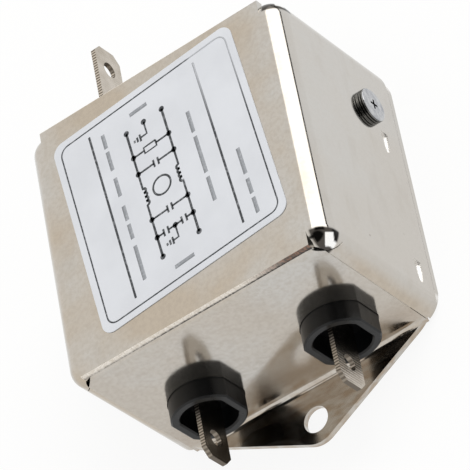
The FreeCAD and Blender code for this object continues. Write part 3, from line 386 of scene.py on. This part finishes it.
def tinned_tab(settings):
    """Tinned brass strip, blanked in a press: smooth dull faces and edges with marks 0.5 mm apart."""
    material, tree = blank("tinned_brass")
    place, normal = (add(tree, "ShaderNodeTexCoord").outputs[kind] for kind in ("Object", "Normal"))
    sideways, _, upwards = unsigned(tree, normal)
    uneven = mask(tree, (patches(tree, 2.5, 4.0, place=place), 0.35, 0.65))
    face = coats(tree, tuple(settings.tab), (uneven, tint("#B1A89B")))
    ribs = add(tree, "ShaderNodeTexWave", {
        "Vector": place, "Scale": wave_scale(0.5), "Distortion": 1.0, "Detail": 1.0, "Detail Scale": 1.5},
        bands_direction="Y")
    marks = mask(tree, (ribs.outputs["Fac"], 0.3, 0.7))
    plain = mask(tree, marks, (upwards, 0.93, 0.98, 0.35, 1.0))
    edge = coats(tree, tint("#6E665C"), (plain, tuple(settings.tab_edge)))
    on_edge = mask(tree, (sideways, 0.3, 0.5, 1.0, 0.0))
    return dress(material, {
        "Base Color": coats(tree, face, (on_edge, edge)),
        "Roughness": mask(tree, (on_edge, 0.0, 1.0, 0.24, 0.42)),
        "Normal": relief(tree, (marks, 0.35, 0.03)),
        "Metallic": 1.0})


def screw_zinc(settings):
    """Zinc-plated screw: a bluish bright face, and a rim painted nearly black as shade, with fine lighter
    lines.
    """
    material, tree = blank("turned_zinc_steel")
    place, normal = (add(tree, "ShaderNodeTexCoord").outputs[kind] for kind in ("Object", "Normal"))
    sideways, _, _ = unsigned(tree, normal)
    uneven = mask(tree, (patches(tree, 0.9, 4.0, place=place), 0.35, 0.65))
    face = coats(tree, tuple(settings.zinc), (uneven, tint("#A3A5AA")))
    lines = add(tree, "ShaderNodeTexWave", {"Vector": place, "Scale": wave_scale(0.4)}, bands_direction="X")
    bright = mask(tree, (lines.outputs["Fac"], 0.75, 0.95))
    # The side of the head is painted nearly black, as shade.
    rim = coats(tree, tuple(settings.rim), (bright, tint("#8C8C8A")))
    on_rim = mask(tree, (sideways, 0.4, 0.7, 1.0, 0.0))
    return dress(material, {
        "Base Color": coats(tree, face, (on_rim, rim)),
        "Roughness": mask(tree, (uneven, 0.0, 1.0, 0.22, 0.34)),
        "Normal": relief(tree, (patches(tree, 0.4, 2.0, place=place), 0.3, 0.02)),
        "Metallic": 1.0})


def wave_scale(pitch):
    """The scale at which bands lie pitch mm apart."""
    return math.tau / 20 / (pitch * MM)


def paint(material, *nodes):
    """Gives CAD nodes their material."""
    for name in nodes:
        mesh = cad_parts[name].data
        mesh.materials.clear()
        mesh.materials.append(material)


# Label print, in the label's own axes, in millimetres

N_RAIL, L_RAIL = -4.43, 2.58
RAIL_END = 12.45


def coil(x, side):
    """The points of a winding of four half turns in a rail."""
    top, pitch = 1.1, 0.82
    points = []
    for turn in range(4):
        for step in range(7):
            angle = math.pi * step / 6
            y = top - pitch * (turn + 0.5 - 0.5 * math.cos(angle))
            points.append((x + side * 0.5 * math.sin(angle), y))
    return points


def rails():
    """Each rail, from its front dot through its coil to its rear dot."""
    lines = []
    for x, side in ((N_RAIL, 1), (L_RAIL, -1)):
        lines.append([(x, RAIL_END), *coil(x, side), (x, -RAIL_END)])
    return lines


def capacitor(y, left, right):
    """Two lines that meet two plates, with the gap between them."""
    gap = 0.42
    middle = (left + right) / 2
    plates = [[(middle + s * gap, y + 0.7), (middle + s * gap, y - 0.7)] for s in (-1, 1)]
    return [[(left, y), (middle - gap, y)], [(middle + gap, y), (right, y)]] + plates


def earth(x, y):
    """Three shrinking strokes."""
    return [[(x - 0.55 * n, y + 0.68 - 0.22 * n), (x - 0.55 * n, y - 0.68 + 0.22 * n)] for n in range(3)]


def box_line(left, right, bottom, top, radius=0.0):
    """A closed rectangle, with rounded corners where a radius is given."""
    corners = ((right, top, 0), (left, top, 1), (left, bottom, 2), (right, bottom, 3))
    points = []
    for x, y, quarter in corners:
        if not radius:
            points.append((x, y))
            continue
        centre = (x - radius * (1 if quarter in (0, 3) else -1),
                  y - radius * (1 if quarter in (0, 1) else -1))
        for step in range(7):
            angle = math.pi / 2 * (quarter + step / 6)
            points.append((centre[0] + radius * math.cos(angle), centre[1] + radius * math.sin(angle)))
    return points + points[:1]


def ring_line(x, y, radius):
    angles = [math.tau * n / 40 for n in range(41)]
    return [(x + radius * math.cos(angle), y + radius * math.sin(angle)) for angle in angles]


def branches():
    """The parts between the rails: bleed resistor, capacitors, core ring and earth points."""
    resistor = box_line(-2.28, 0.02, 6.85, 7.95)
    middle = (N_RAIL + L_RAIL) / 2
    lines = [[(N_RAIL, 7.4), (-2.28, 7.4)], [(0.02, 7.4), (L_RAIL, 7.4)], resistor]
    lines += capacitor(4.07, N_RAIL, L_RAIL) + capacitor(-5.15, N_RAIL, L_RAIL)
    lines += capacitor(-8.65, N_RAIL, middle) + capacitor(-8.65, middle, L_RAIL)
    lines += [[(middle, -8.65), (middle, -10.98), (-1.95, -10.98)]] + earth(-2.0, -10.98)
    lines += [[(-1.0, RAIL_END), (-1.0, 10.06), (-2.15, 10.06)]] + earth(-2.3, 10.06)
    return lines + [ring_line(-1.1, -0.45, 1.65)]


def dots():
    joints = [(x, y) for x in (N_RAIL, L_RAIL) for y in (RAIL_END, 7.4, 4.07, -5.15, -8.65, -RAIL_END)]
    return joints + [((N_RAIL + L_RAIL) / 2, -8.65), (-1.0, RAIL_END)]


def words():
    """Plain bars that stand in for the maker's words, one for each word."""
    across = [((-3.0, -15.6), (0.7, -15.6)), ((-3.0, 15.2), (0.4, 15.2))]
    rows = [(6.65, ((8.8, 4.6), (3.7, -3.6), (-4.5, -9.2))),
            (12.8, ((-3.3, -8.4), (-9.4, -12.3), (-13.1, -16.1))),
            (-8.45, ((15.2, 12.4), (11.7, 7.9), (6.3, 2.6), (0.6, -2.3), (-3.1, -6.0), (-7.4, -14.1)))]
    down = [[(x, top), (x, bottom)] for x, spans in rows for top, bottom in spans]
    return [list(pair) for pair in across] + down


def stroke_mesh(name, lines, at):
    """The lines as edges, placed on the label by the matrix at."""
    mesh = bpy.data.meshes.new(name)
    points, edges = [], []
    for line in lines:
        start = len(points)
        points += [at @ Vector((x * MM, y * MM, 0)) for x, y in line]
        edges += [(start + n, start + n + 1) for n in range(len(line) - 1)]
    mesh.from_pydata(points, edges, [])
    return mesh


def new_tree(name, sockets):
    """A geometry node tree with its named inputs, and the outputs of its group input node."""
    tree = bpy.data.node_groups.new(name, "GeometryNodeTree")
    tree.interface.new_socket("Geometry", in_out="INPUT", socket_type="NodeSocketGeometry")
    tree.interface.new_socket("Geometry", in_out="OUTPUT", socket_type="NodeSocketGeometry")
    for label, kind in sockets:
        tree.interface.new_socket(label, in_out="INPUT", socket_type=kind)
    return tree, add(tree, "NodeGroupInput").outputs


def close_tree(tree, shape, given):
    """Realize Instances and Set Material end the tree."""
    real = add(tree, "GeometryNodeRealizeInstances", {"Geometry": shape})
    painted = add(tree, "GeometryNodeSetMaterial", {
        "Geometry": real.outputs[0], "Material": given["Material"]})
    add(tree, "NodeGroupOutput", {0: painted.outputs[0]})


def stroke_tree():
    """Sweeps a flat bar along each line."""
    tree, given = new_tree("Printed strokes", [
        ("Width", "NodeSocketFloat"), ("Height", "NodeSocketFloat"), ("Material", "NodeSocketMaterial")])
    curve = add(tree, "GeometryNodeMeshToCurve", {"Mesh": given["Geometry"]})
    upright = add(tree, "GeometryNodeSetCurveNormal", {"Curve": curve.outputs[0]}, mode="Z_UP")
    section = add(tree, "GeometryNodeCurvePrimitiveQuadrilateral", {
        "Width": given["Width"], "Height": given["Height"]})
    swept = add(tree, "GeometryNodeCurveToMesh", {
        "Curve": upright.outputs[0], "Profile Curve": section.outputs[0], "Fill Caps": True})
    close_tree(tree, swept.outputs[0], given)
    return tree


def dot_tree():
    """Sets a flat disc on each point."""
    tree, given = new_tree("Printed dots", [
        ("Radius", "NodeSocketFloat"), ("Height", "NodeSocketFloat"), ("Material", "NodeSocketMaterial")])
    disc = add(tree, "GeometryNodeMeshCylinder", {
        "Vertices": 24, "Radius": given["Radius"], "Depth": given["Height"]})
    spread = add(tree, "GeometryNodeInstanceOnPoints", {
        "Points": given["Geometry"], "Instance": disc.outputs[0]})
    close_tree(tree, spread.outputs[0], given)
    return tree


def winding_tree():
    """Wraps one turn of wire round the core's section and repeats it round the core."""
    tree, given = new_tree("Winding", [
        ("Turns", "NodeSocketInt"), ("Step", "NodeSocketFloat"), ("Start", "NodeSocketFloat"),
        ("Reach", "NodeSocketFloat"), ("Across", "NodeSocketFloat"), ("Tall", "NodeSocketFloat"),
        ("Wire", "NodeSocketFloat"), ("Material", "NodeSocketMaterial")])
    loop = add(tree, "GeometryNodeCurvePrimitiveQuadrilateral", {
        "Width": given["Across"], "Height": given["Tall"]})
    round_loop = add(tree, "GeometryNodeFilletCurve", {
        "Curve": loop.outputs[0], "Count": 4, "Radius": given["Wire"]}, mode="POLY")
    stood = add(tree, "GeometryNodeTransform", {
        "Geometry": round_loop.outputs[0], "Rotation": (math.pi / 2, 0, 0)})
    section = add(tree, "GeometryNodeCurvePrimitiveCircle", {"Resolution": 10, "Radius": given["Wire"]})
    turn = add(tree, "GeometryNodeCurveToMesh", {
        "Curve": stood.outputs[0], "Profile Curve": section.outputs[0]})
    reach = add(tree, "ShaderNodeCombineXYZ", {"X": given["Reach"]})
    moved = add(tree, "GeometryNodeTransform", {
        "Geometry": turn.outputs[0], "Translation": reach.outputs[0]})
    line = add(tree, "GeometryNodeMeshLine", {"Count": given["Turns"], "Offset": (0, 0, 0)})
    copies = add(tree, "GeometryNodeInstanceOnPoints", {
        "Points": line.outputs[0], "Instance": moved.outputs[0]})
    number = add(tree, "GeometryNodeInputIndex")
    steps = add(tree, "ShaderNodeMath", {0: number.outputs[0], 1: given["Step"]}, operation="MULTIPLY")
    angle = add(tree, "ShaderNodeMath", {0: steps.outputs[0], 1: given["Start"]}, operation="ADD")
    spin = add(tree, "ShaderNodeCombineXYZ", {"Z": angle.outputs[0]})
    fanned = add(tree, "GeometryNodeRotateInstances", {
        "Instances": copies.outputs[0], "Rotation": spin.outputs[0]})
    close_tree(tree, fanned.outputs[0], given)
    return tree


def grow(name, mesh, tree, values, shift=None):
    """The plain mesh that the tree makes of a mesh with these input values, as a piece on the root."""
    seed = bpy.data.objects.new(name, mesh)
    bpy.context.scene.collection.objects.link(seed)
    modifier = seed.modifiers.new("grow", "NODES")
    modifier.node_group = tree
    for item in tree.interface.items_tree:
        if item.item_type == "SOCKET" and item.in_out == "INPUT" and item.name in values:
            modifier[item.identifier] = values[item.name]
    bpy.context.view_layer.update()
    made = bpy.data.meshes.new_from_object(seed.evaluated_get(bpy.context.evaluated_depsgraph_get()))
    if not made.polygons:
        raise RuntimeError(f"{name} came out empty")
    seed.modifiers.clear()
    made.name = name
    if shift:
        made.transform(shift)
    seed.data = made
    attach(seed, "root")
    return seed


def seam_burrs():
    """The burrs that close the four upright seams, just under the faces they lie between."""
    mesh = bpy.data.meshes.new("seam_burrs")
    points, faces = [], []
    for side in (-1, 1):
        for end in (-1, 1):
            x = side * SEAM
            y = end * (CUT_PLANE - BURR_SINK * MM)
            start = len(points)
            points += [(x + step * BURR_HALF * MM, y - end * deep * MM, z)
                       for z in (BURR_FOOT * MM, CASE_TOP - BURR_DROP * MM)
                       for deep in (0, BURR_DEPTH) for step in (-1, 1)]
            faces += [[start + n for n in face] for face in
                      ((0, 1, 3, 2), (4, 6, 7, 5), (0, 4, 5, 1), (2, 3, 7, 6), (0, 2, 6, 4), (1, 5, 7, 3))]
    mesh.from_pydata(points, [], faces)
    return mesh


# Operators

class FILTER_OT_case(bpy.types.Operator):
    """Finishes the cover, the chassis strip and the bottom plate"""
    bl_idname = "filter.case"
    bl_label = "Case"

    def execute(self, context):
        settings = context.scene.filter_case
        paint(tin_plate(settings, "tin_plate"), "case_cover", "bottom_plate")
        paint(tin_plate(settings, "dull_tin_plate", wall=True), "chassis")
        burrs = bpy.data.objects.new("seam_burrs", seam_burrs())
        context.scene.collection.objects.link(burrs)
        burrs.data.materials.append(simple("seam_burr", "#CFC8BE", 0.6, 0.4, grain=0.5))
        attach(burrs, "root")
        return {"FINISHED"}


class FILTER_OT_label(bpy.types.Operator):
    """Finishes the label film and prints its diagram, border and bars"""
    bl_idname = "filter.label"
    bl_label = "Label"

    def execute(self, context):
        settings = context.scene.filter_label
        paint(label_film(settings), "rating_label")
        low, high = (Vector(corner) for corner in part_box("rating_label"))
        middle = (low + high) / 2
        at = Matrix.Translation((middle.x, middle.y, LABEL_TOP)) @ Matrix.Rotation(LABEL_TURN, 4, "Z")
        ink = printing_ink(settings, "printing_ink", settings.ink)
        faint = printing_ink(settings, "faint_ink", settings.faint)
        strokes = stroke_tree()
        bars = [[(-10.8, 16.5), (-10.8, -16.1)], [(10.0, 16.5), (10.0, -16.1)]]
        border = [box_line(-16.4, 16.4, -17.75, 17.75, 1.6)]
        for name, lines, width, tone in (
                ("label_rails", rails(), settings.rail, ink),
                ("label_branches", branches(), settings.branch, ink),
                ("label_border", border, settings.border, ink),
                ("label_bars", bars, settings.bar, ink),
                ("label_words", words(), settings.word, faint)):
            piece = grow(name, stroke_mesh(name, lines, at), strokes,
                         {"Width": width * MM, "Height": 2 * settings.ink_height * MM, "Material": tone})
        points = stroke_mesh("label_dots", [[spot] for spot in dots()], at)
        piece = grow("label_dots", points, dot_tree(),
                     {"Radius": settings.dot * MM, "Height": 2 * settings.ink_height * MM, "Material": ink})
        return {"FINISHED"}


class FILTER_OT_terminals(bpy.types.Operator):
    """Finishes the bushings, the tabs, the earth screw and its washers"""
    bl_idname = "filter.terminals"
    bl_label = "Terminals"

    def execute(self, context):
        settings = context.scene.filter_terminals
        paint(moulded_nylon(settings), *(f"{place}_bushing" for place in TERMINALS))
        paint(tinned_tab(settings), "earth_tab", "earth_lug", *(f"{place}_tab" for place in TERMINALS))
        zinc = simple("zinc_plated_steel", settings.zinc, 0.28, 1.0, grain=0.8, change=0.18, depth=0.02)
        paint(zinc, "spring_washer", "flat_washer", "earth_nut")
        paint(screw_zinc(settings), "earth_screw")
        return {"FINISHED"}


class FILTER_OT_inside(bpy.types.Operator):
    """Finishes the board and what stands on it, and winds the choke"""
    bl_idname = "filter.inside"
    bl_label = "Inside"

    def execute(self, context):
        settings = context.scene.filter_inside
        paint(simple("phenolic_laminate", settings.board, 0.5, grain=2, stretch=(6, 1, 1)), "circuit_board")
        paint(simple("fibre_sheet", settings.fibre, 0.8, grain=1.2, depth=0.03), "insulating_liner")
        paint(simple("natural_nylon", "#DAD7CB", 0.45, grain=2), "board_posts", "choke_divider")
        paint(simple("coated_ferrite", "#3C4143", 0.4, grain=0.8, depth=0.02), "choke_core")
        film_case = simple("moulded_film_case", "#C9B98A", 0.35, grain=3)
        paint(film_case, "input_film_capacitor", "output_film_capacitor")
        dipped = simple("dipped_disc", "#2C5A93", 0.3, grain=1.5)
        paint(dipped, "line_disc_capacitor", "neutral_disc_capacitor")
        paint(simple("lacquered_resistor", "#B79B6E", 0.4, grain=0.8), "bleed_resistor")
        leads = [f"{place}_lead" for place in TERMINALS]
        paint(simple("wire_sleeve", "#2E2E30", 0.45, grain=0.8), *leads)
        paint(simple("earth_wire_sleeve", "#4C7A34", 0.45, grain=0.8), "earth_lead", "bond_lead")
        copper = simple("enamelled_copper", settings.copper, 0.25, 1.0, grain=1.0)
        wire = settings.wire * MM
        outer = (CORE_HIGH.x - CORE_LOW.x) / 2
        section = 4.0 * MM
        tall = CORE_HIGH.z - CORE_LOW.z
        span = math.radians(120)
        tree = winding_tree()
        for name, start in (("choke_winding_line", 0.0), ("choke_winding_neutral", math.pi)):
            values = {"Turns": settings.turns, "Step": span / (settings.turns - 1),
                      "Start": start - span / 2, "Reach": outer - section / 2,
                      "Across": section + 2.4 * wire, "Tall": tall + 2.4 * wire,
                      "Wire": wire, "Material": copper}
            seed = bpy.data.meshes.new(name)
            seed.from_pydata([(0, 0, 0)], [], [])
            centre = (CORE_LOW + CORE_HIGH) / 2
            piece = grow(f"{name}_wire", seed, tree, values, Matrix.Translation(centre))
            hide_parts(name)
        return {"FINISHED"}


class FILTER_OT_stage(bpy.types.Operator):
    """Lays the white table and sets the light, the surroundings and the camera"""
    bl_idname = "filter.stage"
    bl_label = "Studio"

    def execute(self, context):
        settings = context.scene.filter_studio
        self.table(settings)
        self.surroundings(context, settings)
        self.lamp()
        self.camera(context, settings)
        context.scene.view_settings.view_transform = "Standard"
        return {"FINISHED"}

    def table(self, settings):
        mesh = bpy.data.meshes.new("table")
        reach = 0.3
        corners = [(-reach, -reach, 0), (reach, -reach, 0), (reach, reach, 0), (-reach, reach, 0)]
        mesh.from_pydata([(x, y, -0.05 * MM) for x, y, _ in corners], [], [(0, 1, 2, 3)])
        table = bpy.data.objects.new("table", mesh)
        bpy.context.scene.collection.objects.link(table)
        material, tree = blank("white_table")
        matt = add(tree, "ShaderNodeBsdfPrincipled", {
            "Base Color": tuple(settings.table), "Roughness": 0.9, "Specular IOR Level": 0.0})
        bright = add(tree, "ShaderNodeEmission", {"Color": WHITE, "Strength": 1.0})
        # Seen directly, in a mirror or through glass the table is nearly pure white.
        share = mask(tree, (rays_of(tree, "Camera", "Glossy", "Transmission"), 0.0, 1.0, 0.0, 0.88))
        mixed = add(tree, "ShaderNodeMixShader", {0: share, 1: matt.outputs[0], 2: bright.outputs[0]})
        add(tree, "ShaderNodeOutputMaterial", {"Surface": mixed.outputs[0]})
        mesh.materials.append(material)

    def surroundings(self, context, settings):
        """White all round. The plate also mirrors a dark patch towards the camera, a dark ceiling at
        the front, a light panel at the right rear with a dark gap beside it, and a dark line low down
        beyond the table's edge."""
        world = bpy.data.worlds.new("studio")
        context.scene.world = world
        world.use_nodes = True
        tree = world.node_tree
        tree.nodes.clear()
        where = add(tree, "ShaderNodeTexCoord").outputs["Generated"]
        right, back, up = add(tree, "ShaderNodeSeparateXYZ", {0: where}).outputs
        towards = add(tree, "ShaderNodeVectorMath", {0: where, 1: CAMERA_WAY}, operation="DOT_PRODUCT")
        front = mask(tree, (towards.outputs["Value"], 0.74, 0.87), (up, 0.32, 0.44), (right, 0.03, 0.13))
        ceiling = mask(tree, (up, 0.78, 0.86), (back, -0.35, -0.15, 1.0, 0.0))
        dark = add(tree, "ShaderNodeMath", {0: front, 1: ceiling}, operation="MAXIMUM").outputs[0]
        room = mask(tree, (dark, 0.0, 1.0, ROOM_LEVEL, DARK_LEVEL))
        side = mask(tree, (right, 0.10, 0.16), (back, 0.25, 0.4))
        panel = mask(tree, side, (up, 0.04, 0.06, 0.0, settings.panel - ROOM_LEVEL))
        level = add(tree, "ShaderNodeMath", {0: room, 1: panel}, operation="ADD").outputs[0]
        gap = mask(tree, (right, 0.3, 0.45), (up, 0.25, 0.4), (back, 0.0, 0.1),
                   (back, 0.32, 0.38, 1.0, 0.0))
        line = mask(tree, side, (up, 0.02, 0.05, 1.0, 0.0))
        level = mask(tree, level, (gap, 0.0, 1.0, 1.0, DARK_LEVEL), (line, 0.0, 1.0, 1.0, LINE_LEVEL))
        mirrored, plain, white = (
            add(tree, "ShaderNodeBackground", {"Color": tone, "Strength": strength}).outputs[0]
            for tone, strength in (((1.0, 0.985, 0.96, 1), level), (WHITE, settings.room), (WHITE, 1.0)))
        lit = add(tree, "ShaderNodeMixShader", {0: rays_of(tree, "Glossy"), 1: plain, 2: mirrored})
        seen = rays_of(tree, "Camera", "Transmission")
        shown = add(tree, "ShaderNodeMixShader", {0: seen, 1: lit.outputs[0], 2: white})
        add(tree, "ShaderNodeOutputWorld", {"Surface": shown.outputs[0]})

    def lamp(self):
        """One large soft lamp at the right rear, where the panel is mirrored."""
        light = bpy.data.lights.new("soft_panel", "AREA")
        light.shape = "SQUARE"
        light.size = 0.5
        light.energy = 4.0
        lamp = bpy.data.objects.new("soft_panel", light)
        way = Vector((0.5, 0.45, 0.74)).normalized()
        facing = way.to_track_quat("Z", "Y").to_matrix().to_4x4()
        lamp.matrix_world = Matrix.Translation(way * 0.9) @ facing
        lamp.visible_glossy = False
        bpy.context.scene.collection.objects.link(lamp)

    def camera(self, context, settings):
        turn, rise, roll = settings.azimuth, settings.elevation, settings.roll
        ahead = Vector((-math.sin(turn) * math.cos(rise), math.cos(turn) * math.cos(rise), -math.sin(rise)))
        side = Vector((math.cos(turn), math.sin(turn), 0))
        top = side.cross(ahead)
        right = side * math.cos(roll) + top * math.sin(roll)
        up = top * math.cos(roll) - side * math.sin(roll)
        middle = Vector((0, 0, 14 * MM))
        place = middle + (right * settings.aim[0] + up * settings.aim[1] - ahead * settings.distance) * MM
        turned = Matrix((right, up, -ahead)).transposed().to_4x4()
        lens = bpy.data.cameras.new("camera")
        lens.sensor_width = 36
        lens.lens = settings.lens
        lens.clip_start = 0.01
        camera = bpy.data.objects.new("camera", lens)
        camera.matrix_world = Matrix.Translation(place) @ turned
        context.scene.collection.objects.link(camera)
        context.scene.camera = camera


class FILTER_PT_panel(bpy.types.Panel):
    bl_idname = "FILTER_PT_panel"
    bl_label = "Line filter"
    bl_space_type = "VIEW_3D"
    bl_region_type = "UI"
    bl_category = "Line filter"

    def draw(self, context):
        for operator, group in STEPS:
            column = self.layout.column()
            column.operator(operator.bl_idname)
            settings = getattr(context.scene, group)
            for name in settings.bl_rna.properties.keys():
                if name not in ("rna_type", "name"):
                    column.prop(settings, name)


GROUPS = {
    "filter_studio": StudioSettings,
    "filter_case": CaseSettings,
    "filter_label": LabelSettings,
    "filter_terminals": TerminalSettings,
    "filter_inside": InsideSettings,
}
STEPS = (
    (FILTER_OT_case, "filter_case"),
    (FILTER_OT_label, "filter_label"),
    (FILTER_OT_terminals, "filter_terminals"),
    (FILTER_OT_inside, "filter_inside"),
    (FILTER_OT_stage, "filter_studio"),
)


def register():
    for group in GROUPS.values():
        bpy.utils.register_class(group)
    for operator, _ in STEPS:
        bpy.utils.register_class(operator)
    bpy.utils.register_class(FILTER_PT_panel)
    for name, group in GROUPS.items():
        setattr(bpy.types.Scene, name, bpy.props.PointerProperty(type=group))


def unregister():
    for name in GROUPS:
        delattr(bpy.types.Scene, name)
    bpy.utils.unregister_class(FILTER_PT_panel)
    for operator, _ in reversed(STEPS):
        bpy.utils.unregister_class(operator)
    for group in reversed(GROUPS.values()):
        bpy.utils.unregister_class(group)


def main():
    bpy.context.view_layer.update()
    register()
    bpy.ops.filter.case()
    bpy.ops.filter.label()
    bpy.ops.filter.terminals()
    bpy.ops.filter.inside()
    bpy.ops.filter.stage()


if __name__ == "__main__":
    main()
